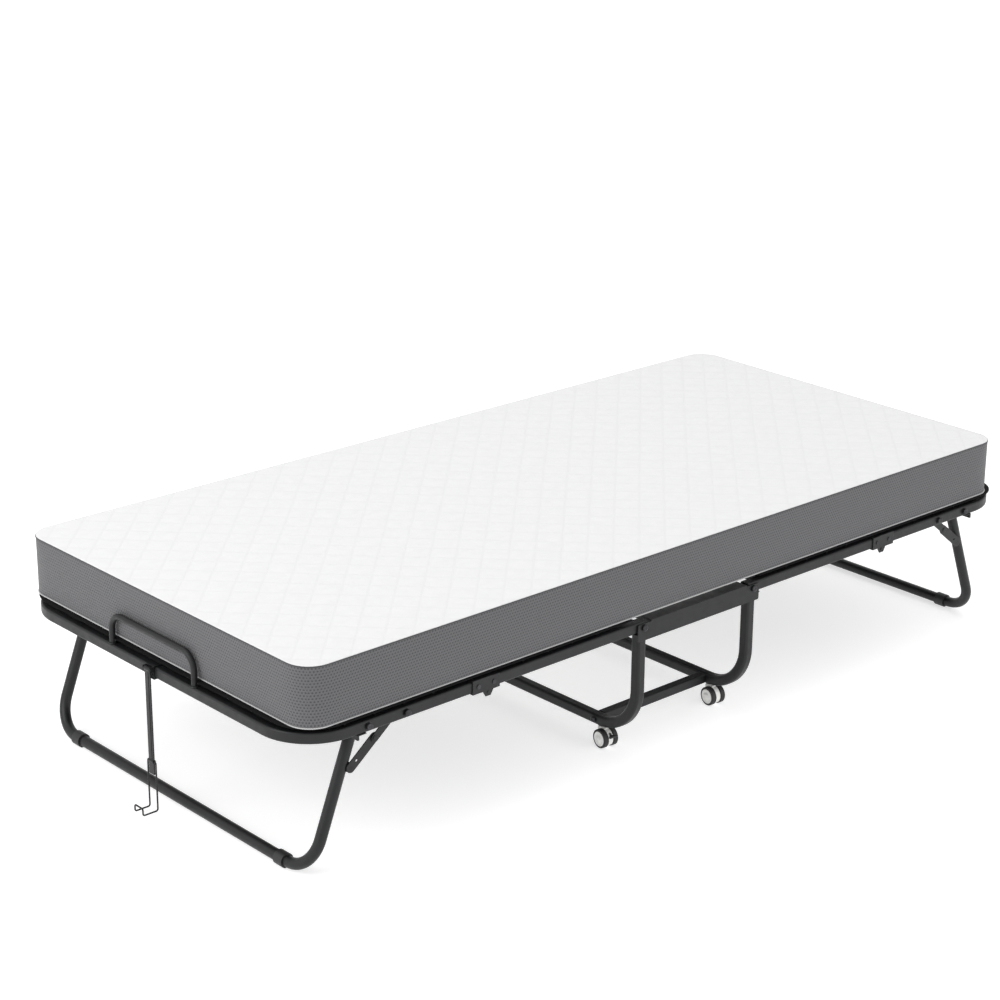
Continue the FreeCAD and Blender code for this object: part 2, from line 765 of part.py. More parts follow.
def leg_parts():
    """One leg, drawn upright with its bar through the origin, then leaned outward about its pivot."""
    at = (
        "-leg_pivot_x - (pivot_height - leg_bar_height) * tan(leg_slant)",
        "0",
        "leg_bar_height",
    )
    lean = Rotation(Vector(0, 1, 0), value("leg_slant"))
    section = round_section("leg_radius", "leg_wall")
    tube = bent_tube("leg_width", f"{LEG_REACH} + leg_top", "leg_bend", section)
    drill = rod("y", ("0", "-leg_width - 2 * leg_radius", LEG_REACH), "hole_radius", "4 * leg_radius")
    at_both_ends("leg", [cut(tube, both_sides(drill))], at, lean)
    clip = ring("y", ("0", "-foot_y - foot_wide / 2", "0"), "foot_radius", "leg_radius", "foot_wide")
    below_floor = block(
        ("0", "-foot_y", "-leg_bar_height - foot_radius / 2"),
        ("2 * foot_radius", "2 * foot_wide", "foot_radius"),
    )
    at_both_ends("leg_feet", both_sides(cut(clip, [below_floor])), at)
    pin_height = f"{LEG_REACH} - {STAY_DROP}"
    lug = block(
        (f"({STAY_LEAN} + lug_root + lug_margin) / 2", "-lug_y", pin_height),
        (f"{STAY_LEAN} + lug_margin - lug_root", "lug_thick", "lug_high"),
    )
    pin = rod(
        "y",
        (STAY_LEAN, "-lower_stay_y - stay_thick / 2", pin_height),
        "small_bolt_radius",
        "lower_stay_y + stay_thick / 2 - lug_y",
    )
    at_both_ends("leg_lugs", both_sides(fuse([lug, pin])), at, lean)


def stay_geometry():
    """Where the lower stay meets the leg, the length of each of the two links and their slope when open."""
    lean = math.radians(value("leg_slant"))
    drop, out = value(STAY_DROP), value(STAY_LEAN)
    leg_x = -value("leg_pivot_x") - drop * math.sin(lean) + out * math.cos(lean)
    leg_z = value("pivot_height") - drop * math.cos(lean) - out * math.sin(lean)
    along = -value("stay_x") - leg_x
    rise = value("pivot_height") - leg_z
    return leg_x, leg_z, math.hypot(along, rise) / 2, math.degrees(math.atan2(rise, along))


def link(length, radius, layer, holes):
    """A flat bar with round ends, from the origin along +X. holes lists (distance, radius)."""
    start_y = f"-{layer} - stay_thick / 2"
    bar = fuse(
        [
            block((length / 2, f"-{layer}", "0"), (length, "stay_thick", f"2 * {radius}")),
            rod("y", ("0", start_y, "0"), radius, "stay_thick"),
            rod("y", (length, start_y, "0"), radius, "stay_thick"),
        ]
    )
    return cut(bar, [rod("y", (x, start_y, "0"), size, "stay_thick") for x, size in holes])


def stay_parts():
    leg_x, leg_z, length, slope = stay_geometry()
    slant = Rotation(Vector(0, 1, 0), -slope)
    fold_back = Rotation(Vector(0, 1, 0), 180 - slope)
    upper = link(length, "upper_stay_radius", "upper_stay_y", [(0, "hole_radius")])
    knee = rod("y", (length, "-upper_stay_y - stay_thick / 2 - knee_head", "0"), "knee_radius", "knee_head")
    at_both_ends(
        "stays_upper",
        both_sides(fuse([upper, knee])),
        ("-stay_x", "0", "pivot_height"),
        fold_back,
    )
    holes = [
        (0, "small_bolt_radius + fit_gap"),
        (length, "small_bolt_radius"),
        ("stay_catch_from", "stay_catch_radius"),
    ]
    lower = link(length, "lower_stay_radius", "lower_stay_y", holes)
    at_both_ends("stays_lower", both_sides(lower), (leg_x, "0", leg_z), slant)


def latch_parts():
    """The latch hangs from the head end rail: clip bracket, strap on a pin, and wire bail with its hook."""
    outer_x = "frame_length + rail_size / 2"
    rail_room = "rail_size + 2 * sheet_gap"
    shell = block(
        (f"-({outer_x}) + rail_size / 2 - sheet_gap - sheet", "latch_y", "pivot_height"),
        ("rail_size", "clip_wide", f"{rail_room} + 2 * sheet"),
    )
    rail_space = block(
        (f"-({outer_x}) + rail_size / 2 - sheet_gap", "latch_y", "pivot_height"),
        ("rail_size", "clip_wide + 2", rail_room),
    )
    clip_face = f"{outer_x} + sheet_gap + sheet"
    ears = [
        block(
            (
                f"-({clip_face} + latch_pin_x + roll_radius) / 2",
                f"latch_y {side} (latch_wide / 2 + ear_gap + ear_thick / 2)",
                "latch_pin_height",
            ),
            (f"latch_pin_x + roll_radius - ({clip_face})", "ear_thick", "2 * roll_radius"),
        )
        for side in "+-"
    ]
    pin_half = "(latch_wide / 2 + ear_gap + ear_thick + 1)"
    pin_at = ("-latch_pin_x", f"latch_y - {pin_half}", "latch_pin_height")
    pin = rod("y", pin_at, "latch_pin_radius", f"2 * {pin_half}")
    rivet_top = f"{RAIL_LOW} - sheet_gap - sheet"
    rivet_at = (f"-({outer_x}) + clip_rivet_inset", "latch_y", f"{rivet_top} - clip_rivet_head")
    rivet = rod("z", rivet_at, "clip_rivet_radius", "clip_rivet_head")
    node("latch_bracket", [fuse([cut(shell, [rail_space]), pin, rivet] + ears)])

    start = ("-latch_pin_x", "latch_y - latch_wide / 2", "latch_pin_height")
    roll = rod("y", start, "roll_radius", "latch_wide")
    barrel_at = ("-latch_pin_x", "latch_y - latch_wide / 2", "bail_height")
    barrel = rod("y", barrel_at, "bail_wire + barrel_wall", "latch_wide")
    plate = block(
        ("-latch_pin_x", "latch_y", "(latch_pin_height + strap_low) / 2"),
        ("strap_thick", "latch_wide", "latch_pin_height - strap_low"),
    )
    rib = block(
        ("-latch_pin_x - (strap_thick + strap_rib) / 2", "latch_y", "(latch_pin_height + bail_height) / 2"),
        ("strap_rib", "strap_rib_wide", "latch_pin_height - bail_height"),
    )
    bores = [
        rod("y", start, "latch_pin_radius + fit_gap", "latch_wide"),
        rod("y", barrel_at, "bail_wire + fit_gap", "latch_wide"),
    ]
    node("latch_strap", [cut(fuse([roll, barrel, plate, rib]), bores)])

    bail = doc.addObject("Part::Feature", "Bail")
    bail.Shape = bail_shape()
    node("latch_bail", [bail])


def rounded_path(points, radius):
    """Straight runs through the points, joined by tangent arcs of that radius."""
    edges, start = [], points[0]
    for before, corner, after in zip(points, points[1:], points[2:]):
        back = (before - corner).normalize()
        ahead = (after - corner).normalize()
        half_turn = (math.pi - back.getAngle(ahead)) / 2
        reach = radius * math.tan(half_turn)
        middle = (back + ahead).normalize() * (radius / math.cos(half_turn) - radius)
        first, last = corner + back * reach, corner + ahead * reach
        edges.append(Part.LineSegment(start, first).toShape())
        edges.append(Part.Arc(first, corner + middle, last).toShape())
        start = last
    edges.append(Part.LineSegment(start, points[-1]).toShape())
    return Part.Wire(edges)


def bail_shape():
    """Bent wire: an end in the strap's barrel, down one leg, out and up to the lip, and back the same way."""
    inset, half, pin = value("latch_wide / 4"), value("bail_half"), value("bail_height")
    low, reach, lip = value("bail_low"), value("bail_reach"), value("bail_lip")
    one_side = [
        (0, -inset, pin),
        (0, -half, pin),
        (0, -half, low),
        (-reach, -half, low),
        (-reach, -half, low + lip),
    ]
    other_side = [(x, -y, z) for x, y, z in reversed(one_side)]
    middle = Vector(-value("latch_pin_x"), value("latch_y"), 0)
    points = [middle + Vector(*point) for point in one_side + other_side]
    path = rounded_path(points, value("bail_bend"))
    wire = Part.Wire(Part.Circle(points[0], Vector(0, 1, 0), value("bail_wire")).toShape())
    return path.makePipeShell([wire], True, False)


def mattress_parts():
    """One foam mattress, cut by planes through the fold pivots into parts that fold clear of each other."""
    body = doc.addObject("PartDesign::Body", "Mattress")
    outline = sketch_on(body, "XY_Plane", "Outline")
    draw_rectangle(outline, ("0", "0"), "mattress_length", "mattress_width", "mattress_corner")
    pad = body.newObject("PartDesign::Pad", "Pad")
    pad.Profile = outline
    bind(pad, {"Length": "mattress_top - mattress_bottom"})
    place(body, ("-mattress_shift", "0", "mattress_bottom"))

    def slice_of(points):
        common = doc.addObject("Part::Common", "Slice")
        common.Base = body
        wide = "mattress_width + 20"
        common.Tool = sheet_piece(f"({wide}) / 2", wide, lambda sketch: draw_polygon(sketch, points))
        return common

    low, top = "(mattress_bottom - pivot_height)", "(mattress_top - pivot_height)"
    end = "-mattress_length / 2 - 2 * mattress_shift"
    outward_low, outward_top = f"-pivot_x - {low}", f"-pivot_x - {top}"
    inward_low, inward_top = f"-pivot_x + {low}", f"-pivot_x + {top}"
    half = [
        (end, "mattress_bottom"),
        (f"{outward_low} - foam_gap", "mattress_bottom"),
        (f"{outward_top} - foam_gap", "mattress_top"),
        (end, "mattress_top"),
    ]
    crease = [
        (outward_low, "mattress_bottom"),
        (f"{inward_low} - foam_gap", "mattress_bottom"),
        (f"{inward_top} - foam_gap", "mattress_top"),
        (outward_top, "mattress_top"),
    ]
    middle = [
        (inward_low, "mattress_bottom"),
        (f"-({inward_low})", "mattress_bottom"),
        (f"-({inward_top})", "mattress_top"),
        (inward_top, "mattress_top"),
    ]
    node("head_mattress", [slice_of(half)])
    node("foot_mattress", [slice_of([(f"-({x})", z) for x, z in half])])
    at_both_ends("mattress_crease", [slice_of(crease)])
    node("mattress_middle", [slice_of(middle)])


def caster_parts(name, x, y, braked):
    """A twin-wheel caster. It is drawn about its stem, with its axle along X, then turned about the stem."""
    at = (x, y, "0")
    turn = Rotation(Vector(0, 0, 1), value("caster_turn"))
    axle_y, axle_z = "-caster_trail", "wheel_radius"
    collar_low = "(2 * wheel_radius + web_gap)"
    bar_low = "(hoop_bar_height - rail_size / 2)"
    collar_high = f"{bar_low} - web_gap / 2 - {collar_low}"
    outer_face = "wheel_inner + wheel_wide"
    pin_at = ("0", "-caster_trail - lever_pin_y", "lever_pin_height")
    neck = block(
        ("0", "-web_neck_y", f"({collar_low} + wheel_radius) / 2"),
        ("2 * web_half", "web_neck", f"{collar_low} - wheel_radius"),
    )
    housing = fuse(
        [
            rod("x", ("-web_half", axle_y, axle_z), "web_radius", "2 * web_half"),
            neck,
            rod("z", ("0", "0", collar_low), "stem_radius + collar_wall", collar_high),
            rod("z", ("0", "0", "stem_from"), "stem_radius", "hoop_bar_height + stem_above - stem_from"),
            rod("x", (f"-({outer_face})", axle_y, axle_z), "axle_radius", f"2 * ({outer_face})"),
        ]
    )
    if braked:
        slot = block(
            (pin_at[0], f"{pin_at[1]} - lever_eye", pin_at[2]),
            ("lever_slot_wide", "lever_slot_long", "lever_slot_high"),
        )
        pin = rod("x", ("-web_half", *pin_at[1:]), "lever_pin_radius", "2 * web_half")
        housing = fuse([cut(housing, [slot]), pin])
    node(f"{name}_housing", [housing], at, turn)
    tyres, hubs = [], []
    for start in ("wheel_inner", f"-({outer_face})"):
        tyre = ring("x", (start, axle_y, axle_z), "wheel_radius", "tyre_inner", "wheel_wide")
        is_rim = lambda edge: abs(getattr(edge.Curve, "Radius", 0) - value("wheel_radius")) < 0.01
        tyres.append(rounded(tyre, "wheel_edge", is_rim))
        hubs.append(ring("x", (start, axle_y, axle_z), "tyre_inner", "axle_radius + fit_gap", "wheel_wide"))
    node(f"{name}_tyres", tyres, at, turn)
    node(f"{name}_hubs", hubs, at, turn)
    if braked:
        eye = rod("x", ("-lever_wide / 2", *pin_at[1:]), "lever_eye", "lever_wide")
        stalk_at = ("0", f"{pin_at[1]} - lever_stalk / 2", pin_at[2])
        stalk = block(stalk_at, ("lever_wide", "lever_stalk", "lever_thick"))
        pedal_at = ("0", f"{pin_at[1]} - lever_stalk", pin_at[2])
        pedal = block(pedal_at, ("pedal_wide", "pedal_long", "lever_thick"))
        bore = rod("x", ("-lever_wide / 2", *pin_at[1:]), "lever_pin_radius + fit_gap", "lever_wide")
        node(f"{name}_brake", [cut(fuse([eye, stalk, pedal]), [bore])], at, turn)


def check_and_export():
    doc.recompute()
    for item in doc.Objects:
        if {"Invalid", "Error"} & set(item.State):
            raise RuntimeError(f"{item.Name} ({item.Label}) failed: {item.State}")
    os.makedirs("parts", exist_ok=True)
    for item in NODES:
        shape = item.Shape
        if shape.isNull() or not shape.isValid() or shape.Volume <= 0:
            raise RuntimeError(f"{item.Label} has no valid solid")
        shape.exportStep(f"parts/{item.Label}.step")
        box = shape.BoundBox
        print(
            f"{item.Label:28s} {len(shape.Solids):3d} solids {shape.Volume / 1000:10.1f} cm3"
            f"  x {box.XMin:8.1f} {box.XMax:8.1f}"
            f"  y {box.YMin:7.1f} {box.YMax:7.1f}"
            f"  z {box.ZMin:6.1f} {box.ZMax:6.1f}"
        )
    print(len(NODES), "nodes")


base_parts()
frame_parts()
bracket_parts()
leg_parts()
stay_parts()
latch_parts()
mattress_parts()
for end_name, end_x in (("head", "-pivot_x"), ("foot", "pivot_x")):
    for side_name, side_y in (("near", "-caster_y"), ("far", "caster_y")):
        caster_parts(f"caster_{end_name}_{side_name}", end_x, side_y, end_name == "head")
check_and_export()
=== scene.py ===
import json
import math

import bpy
import numpy as np
from mathutils import Matrix, Vector


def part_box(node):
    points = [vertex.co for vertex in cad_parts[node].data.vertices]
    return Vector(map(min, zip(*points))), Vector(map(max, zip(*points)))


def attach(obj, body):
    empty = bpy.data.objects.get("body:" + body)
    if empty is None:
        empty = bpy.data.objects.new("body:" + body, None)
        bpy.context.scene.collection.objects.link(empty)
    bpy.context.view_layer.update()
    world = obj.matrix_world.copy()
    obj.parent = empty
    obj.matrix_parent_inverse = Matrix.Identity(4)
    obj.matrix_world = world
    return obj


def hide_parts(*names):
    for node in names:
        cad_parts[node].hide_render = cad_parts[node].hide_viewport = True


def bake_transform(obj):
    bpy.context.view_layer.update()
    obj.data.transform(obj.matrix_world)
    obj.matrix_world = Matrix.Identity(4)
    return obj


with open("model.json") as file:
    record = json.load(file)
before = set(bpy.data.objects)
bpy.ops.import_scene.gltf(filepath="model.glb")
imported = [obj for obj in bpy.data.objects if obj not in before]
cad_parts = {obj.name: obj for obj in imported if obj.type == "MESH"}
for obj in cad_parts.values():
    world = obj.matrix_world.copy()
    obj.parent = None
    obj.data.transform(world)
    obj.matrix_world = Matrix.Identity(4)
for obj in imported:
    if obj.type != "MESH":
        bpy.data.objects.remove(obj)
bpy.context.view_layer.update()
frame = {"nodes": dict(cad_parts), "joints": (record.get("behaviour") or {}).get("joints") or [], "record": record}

# Folding cot, open for use. Metres, +Z up, floor at z = 0. The head end, with the latch, is at -X.

COLLECTION = bpy.context.scene.collection
JOINTS = {joint["name"]: joint for joint in frame["joints"]}
HEAD_PIVOT = Vector(JOINTS["head_fold"]["pos_m"])
FOOT_PIVOT = Vector(JOINTS["foot_fold"]["pos_m"])
MIDDLE_X = (HEAD_PIVOT.x + FOOT_PIVOT.x) / 2

# Mattress cover: the CAD solids' box, the grid of its mesh, and how it is made

LOW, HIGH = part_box("head_mattress")
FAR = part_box("foot_mattress")[1]
UNDERSIDE_GAP = 0.0015  # from the CAD underside up to the cover's
TOP_INSET = 0.003
SIDE_INSET = 0.004
CORNER = 0.05  # radius of the corners seen from above
CORNER_STEPS = 5
STEP = 0.01  # grid spacing
BORDER_LEVELS = 12
QUILT_REPEAT = 7  # grid steps from one stitch line to the next
PUFF_LIMIT = 0.005
SEAM_CREASE = 0.9
WELT_RADIUS, WELT_LIFT = 0.0010, -0.0018
PIPING_RADIUS, PIPING_LIFT = 0.0013, 0.0012
PIPING_SIDES = 8
TOP_FACE, BORDER_FACE, LINING_FACE, WELT_FACE, PIPING_FACE = range(5)

# Handles, and the near-black cloth on the wire mesh, which is painted shade under the mattress

HANDLE_FOOT = 0.131  # distance of a handle's foot from the middle
CLOTH_CORNER = 0.082
CLOTH_SAG = 0.0016
CLOTH_THICK = 0.0007
CLOTH_ROWS, CLOTH_COLUMNS = 72, 91
NOTCH_SHARE = 0.72  # a square notch of this share hugs the handle's round foot
HEM_WIDE = 0.018
WIRE_APART = 0.01  # points further apart than this are on different long wires
CREST = 0.0002  # how far under the mesh's highest point a long wire still counts as its top
COLUMN_APART = 0.003  # grid columns nearer than this to a notch's edge give way to it

# Small turned details

TURN_SIDES = 40
TIP_RADIUS = 0.00002  # stands for a profile's point on the axis
HUB_RADIUS = 0.015
TIE_INSET = 0.01

# Stage

FLOOR_SIZE = 60
FLOOR_GREYS = (0.615, 0.615, 0.615), (0.63, 0.63, 0.63)
FLOOR_GLOW = 0.62
SKY = 0.9
LAMP_TARGET = Vector((0, 0, 0.25))
LAMPS = (
    ("key", (-4.5, 0.5, 2.6), 3.0, 95),
    ("fill", (1.5, -5.0, 0.9), 3.5, 60),
    ("top", (0.5, 0.5, 4.5), 5.0, 40),
)  # name, place, size and power
CAMERA_PLACE = (MIDDLE_X - 3.2652, -3.4948, 2.1127)
CAMERA_FORWARD = Vector((0.62921, 0.69872, -0.34044))
CAMERA_UPWARD = Vector((0.22323, 0.25711, 0.94026))
CAMERA_LENS = 88.92  # mm, on a sensor 36 mm wide


# Materials


class Paint:
    """A material under construction: add() makes a node and wires its inputs."""

    def __init__(self, name, colour, roughness, **sockets):
        self.material = bpy.data.materials.new(name)
        self.material.use_nodes = True
        self.tree = self.material.node_tree
        self.shader = self.tree.nodes["Principled BSDF"]
        self.material.diffuse_color = (*colour, 1)
        self.wire(self.shader, {"Base Color": (*colour, 1), "Roughness": roughness, **sockets})

    def wire(self, node, inputs):
        for key, value in inputs.items():
            if isinstance(value, bpy.types.NodeSocket):
                self.tree.links.new(value, node.inputs[key])
            else:
                node.inputs[key].default_value = value

    def add(self, kind, inputs=None, out=0, **settings):
        node = self.tree.nodes.new(f"ShaderNode{kind}")
        for key, value in settings.items():
            setattr(node, key, value)
        self.wire(node, inputs or {})
        return node.outputs[out]

    def place(self):
        return self.add("TexCoord", out="Object")

    def noise(self, scale, detail=2.0, vector=None):
        inputs = {"Scale": scale, "Detail": detail, "Vector": vector or self.place()}
        return self.add("TexNoise", inputs, out="Fac")

    def ramp(self, factor, low, high, first=0.0, last=1.0):
        """Linear map of factor from low..high to first..last, clamped."""
        inputs = {"Value": factor, "From Min": low, "From Max": high, "To Min": first, "To Max": last}
        return self.add("MapRange", inputs)

    def mix(self, factor, first, second):
        """Blends two colours. Sockets 6, 7 and output 2 are the Mix node's colours."""
        node = self.tree.nodes.new("ShaderNodeMix")
        node.data_type = "RGBA"
        self.wire(node, {"Factor": factor})
        for socket, value in ((node.inputs[6], first), (node.inputs[7], second)):
            if isinstance(value, bpy.types.NodeSocket):
                self.tree.links.new(value, socket)
            else:
                socket.default_value = (*value, 1)
        return node.outputs[2]

    def math(self, operation, first, second=0.0):
        node = self.tree.nodes.new("ShaderNodeMath")
        node.operation = operation
        for socket, value in zip(node.inputs, (first, second)):
            if isinstance(value, bpy.types.NodeSocket):
                self.tree.links.new(value, socket)
            else:
                socket.default_value = value
        return node.outputs[0]

    def bump(self, height, distance, strength=1.0, edge=0.0):
        """Surface relief. edge is the radius that sharp edges seem to have."""
        inputs = {"Height": height, "Distance": distance, "Strength": strength}
        if edge:
            inputs["Normal"] = self.add("Bevel", {"Radius": edge}, samples=4)
        self.wire(self.shader, {"Normal": self.add("Bump", inputs)})


def powder_coat(name, colour, roughness=0.42):
    """Painted steel: fine orange peel, slightly uneven gloss and faint dust."""
    paint = Paint(name, colour, roughness, **{"Specular IOR Level": 0.34})
    dust = paint.ramp(paint.noise(9, 4), 0.35, 0.75)
    lighter = tuple(channel * 1.4 + 0.002 for channel in colour)
    paint.wire(paint.shader, {"Base Color": paint.mix(dust, colour, lighter)})
    gloss = paint.ramp(paint.noise(60), 0.3, 0.7, roughness - 0.05, roughness + 0.08)
    paint.wire(paint.shader, {"Roughness": gloss})
    paint.bump(paint.noise(900, 1), 0.00012, edge=0.0008)
    return paint.material


def bare_steel(name, colour, roughness, metallic=1.0):
    paint = Paint(name, colour, roughness, Metallic=metallic)
    streaks = paint.noise(240, 3)
    gloss = paint.ramp(streaks, 0.3, 0.7, roughness - 0.07, roughness + 0.1)
    paint.wire(paint.shader, {"Roughness": gloss})
    worn = tuple(min(1, channel * 1.6) for channel in colour)
    wear = paint.ramp(paint.noise(70, 4), 0.4, 0.7)
    paint.wire(paint.shader, {"Base Color": paint.mix(wear, colour, worn)})
    paint.bump(streaks, 0.00005)
    return paint.material


def moulded(name, colour, roughness, grain=700.0, depth=0.00004, **sockets):
    """Moulded plastic or rubber with a fine grain."""
    paint = Paint(name, colour, roughness, **sockets)
    tone = tuple(channel * 0.86 for channel in colour)
    clouding = paint.ramp(paint.noise(50, 3), 0.4, 0.8)
    paint.wire(paint.shader, {"Base Color": paint.mix(clouding, colour, tone)})
    gloss = paint.ramp(paint.noise(160), 0.3, 0.7, roughness - 0.04, roughness + 0.06)
    paint.wire(paint.shader, {"Roughness": gloss})
    paint.bump(paint.noise(grain, 1), depth, edge=0.0005)
    return paint.material


def border_knit():
    """Grey spacer knit of the mattress border: staggered open eyelets in darker rows."""
    paint = Paint("border_knit", (0.09, 0.09, 0.095), 0.85, **{"Sheen Weight": 0.15})
    uv = paint.add("UVMap", uv_map="cloth")
    parts = paint.tree.nodes.new("ShaderNodeSeparateXYZ")
    paint.wire(parts, {"Vector": uv})
    across, up = parts.outputs["X"], parts.outputs["Y"]
    pitch, row = 0.0064, 0.0056
    column = paint.math("DIVIDE", across, pitch)
    rows = paint.math("DIVIDE", up, row)
    level = paint.math("FLOOR", rows)
    shifted = paint.math("ADD", column, paint.math("MULTIPLY", level, 0.5))
    right = paint.math("SUBTRACT", paint.math("FRACT", shifted), 0.5)
    above = paint.math("SUBTRACT", paint.math("FRACT", rows), 0.5)
    square = paint.math("ADD", paint.math("MULTIPLY", right, right), paint.math("MULTIPLY", above, above))
    eyelet = paint.ramp(square, 0.02, 0.13, 1.0, 0.0)
    thread = paint.noise(2600, 1)
    light = paint.mix(thread, (0.085, 0.085, 0.09), (0.125, 0.125, 0.13))
    dark = (0.045, 0.045, 0.048)
    paint.wire(paint.shader, {"Base Color": paint.mix(eyelet, light, dark)})
    relief = paint.math("SUBTRACT", paint.math("MULTIPLY", thread, 0.25), eyelet)
    paint.bump(relief, 0.0008, 0.8)
    return paint.material


def stitch_line(paint, across, along, sign):
    """1 beside the quilting's stitch lines along one diagonal, 0 away from them."""
    cell = QUILT_REPEAT * STEP
    place = paint.math("ADD", across, paint.math("MULTIPLY", along, sign))
    turn = paint.math("FRACT", paint.math("ADD", paint.math("DIVIDE", place, cell), 100.5))
    away = paint.math("ABSOLUTE", paint.math("SUBTRACT", turn, 0.5))
    return paint.ramp(away, 0.0, 0.08, 1.0, 0.0)


def top_knit():
    """White jersey of the mattress top, with fine loops, faint mottling and diagonal quilting; the stitch lines
    are painted a little darker as shade in their creases.
    """
    paint = Paint("top_knit", (0.7, 0.7, 0.7), 0.8, **{"Sheen Weight": 0.2})
    parts = paint.tree.nodes.new("ShaderNodeSeparateXYZ")
    paint.wire(parts, {"Vector": paint.add("UVMap", uv_map="cloth")})
    lines = [stitch_line(paint, parts.outputs["X"], parts.outputs["Y"], sign) for sign in (1.0, -1.0)]
    stitched = paint.math("MAXIMUM", *lines)
    mottle = paint.ramp(paint.noise(40, 3), 0.35, 0.65)
    plain = paint.mix(mottle, (0.695, 0.695, 0.7), (0.715, 0.715, 0.715))
    # The darker colour along the stitch lines is painted shade in the quilting's creases.
    paint.wire(paint.shader, {"Base Color": paint.mix(stitched, plain, (0.686, 0.686, 0.69))})
    cells = {"Vector": paint.place(), "Scale": 420, "Randomness": 0.4}
    loops = paint.math("MULTIPLY", paint.add("TexVoronoi", cells, out="Distance"), 0.5)
    relief = paint.math("SUBTRACT", loops, paint.math("MULTIPLY", stitched, 1.2))
    paint.bump(relief, 0.0006, 0.6)
    return paint.material


def lining():
    """Plain white non-woven cloth under the mattress."""
    paint = Paint("lining", (0.78, 0.78, 0.77), 0.9)
    fibre = paint.noise(800, 3)
    paint.wire(paint.shader, {"Base Color": paint.mix(fibre, (0.74, 0.74, 0.73), (0.82, 0.82, 0.81))})
    paint.bump(fibre, 0.0003, 0.5)
    return paint.material


def felt(name, colour):
    """Non-woven cloth: short tangled fibres. It colours the near-black sheet on the wire mesh, which is painted
    shade under the mattress.
    """
    paint = Paint(name, colour, 0.95, **{"Specular IOR Level": 0.2})
    fibre = paint.noise(1400, 4)
    lighter = tuple(channel * 1.8 for channel in colour)
    paint.wire(paint.shader, {"Base Color": paint.mix(fibre, colour, lighter)})
    paint.bump(fibre, 0.0003, 0.5)
    return paint.material


def braid(name, colour):
    """Piping cord: a twisted look along a tube that is wrapped by its own UVs."""
    paint = Paint(name, colour, 0.75, **{"Sheen Weight": 0.1})
    uv = paint.add("UVMap", uv_map="cloth")
    waves = {"Vector": uv, "Scale": 150, "Distortion": 0.4}
    twist = paint.add("TexWave", waves, bands_direction="DIAGONAL")
    darker = tuple(channel * 0.7 for channel in colour)
    paint.wire(paint.shader, {"Base Color": paint.mix(twist, colour, darker)})
    paint.bump(twist, 0.0003, 0.5)
    return paint.material


FRAME = powder_coat("frame_coat", (0.0065, 0.0068, 0.0075))
WIRE = powder_coat("wire_coat", (0.006, 0.0063, 0.007), 0.38)
LINK = powder_coat("link_coat", (0.006, 0.0063, 0.0068), 0.35)
BOLT = bare_steel("bolt_steel", (0.045, 0.045, 0.048), 0.38)
CLIP = moulded("clip_plastic", (0.014, 0.014, 0.015), 0.5)
TYRE = moulded("tyre_rubber", (0.012, 0.012, 0.012), 0.62, 1100, 0.00008)
WHITE = moulded("white_plastic", (0.78, 0.78, 0.76), 0.3, 500, 0.00002, **{"Coat Weight": 0.2})
# The near-black felt and its hem are painted shade: a dark sheet on the wire mesh where the mattress shades the
# gap above the rails.
CLOTH = felt("support_felt", (0.006, 0.006, 0.0065))
SHADE_HEM = felt("hem_felt", (0.0045, 0.0045, 0.005))
LEVER = moulded("lever_plastic", (0.015, 0.015, 0.016), 0.4)
BORDER = border_knit()
TOP = top_knit()
LINING = lining()
PIPING = braid("piping", (0.5, 0.5, 0.5))
WELT = braid("welt", (0.05, 0.05, 0.055))

SLOT_MATERIALS = {
    "frame_paint": FRAME,
    "link_steel": LINK,
    "wire": WIRE,
    "bolt_steel": BOLT,
    "clip_plastic": CLIP,
    "latch_metal": LINK,
    "caster_white": WHITE,
    "tyre_black": TYRE,
    "brake_black": LEVER,
    "mattress_cover": TOP,
    "base_cloth": CLOTH,
}


def dress_cad():
    """Gives every CAD node the material of its slot."""
    slots = {part["node"]: part["material_slot"] for part in frame["record"]["subparts"]}
    for name, node in frame["nodes"].items():
        node.data.materials.clear()
        node.data.materials.append(SLOT_MATERIALS[slots[name]])


# Small details on the CAD bodies: (radius, height) profiles that are turned about an axis

BUTTON = (
    (0.0065, 0.0),
    (0.0062, 0.0008),
    (0.0048, 0.0015),
    (0.0030, 0.0018),
    (0.0026, 0.0012),
    (0.0, 0.0011),
)
TIE_BUTTON = (
    (0.0060, 0.0),
    (0.0056, 0.0008),
    (0.0040, 0.0014),
    (0.0024, 0.0016),
    (0.0020, 0.0010),
    (0.0, 0.0009),
)
BEAD = ((0.0088, 0.0), (0.0084, 0.0009), (0.0076, 0.0016), (0.0066, 0.0019), (0.0058, 0.0018))
HUBCAP = (
    (0.0148, 0.0),
    (0.0146, 0.0006),
    (0.0138, 0.0009),
    (0.0132, 0.0003),
    (0.0064, 0.0003),
    (0.0060, 0.0010),
    (0.0034, 0.0017),
    (0.0, 0.0019),
)


def lathe(name, body, centre, axis, profile, material):
    """A small turned piece on that body. profile is turned about axis, with heights from centre."""
    axis = Vector(axis).normalized()
    side = axis.orthogonal().normalized()
    other = axis.cross(side)
    points, faces = [], []
    for radius, height in profile:
        for turn in range(TURN_SIDES):
            angle = 2 * math.pi * turn / TURN_SIDES
            spoke = side * math.cos(angle) + other * math.sin(angle)
            points.append(Vector(centre) + axis * height + spoke * max(radius, TIP_RADIUS))
    for level in range(len(profile) - 1):
        for turn in range(TURN_SIDES):
            after = (turn + 1) % TURN_SIDES
            low, high = level * TURN_SIDES, (level + 1) * TURN_SIDES
            faces.append((low + turn, low + after, high + after, high + turn))
    mesh = bpy.data.meshes.new(name)
    mesh.from_pydata(points, [], faces)
    mesh.materials.append(material)
    mesh.polygons.foreach_set("use_smooth", [True] * len(faces))
    item = bpy.data.objects.new(name, mesh)
    COLLECTION.objects.link(item)
    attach(item, body)


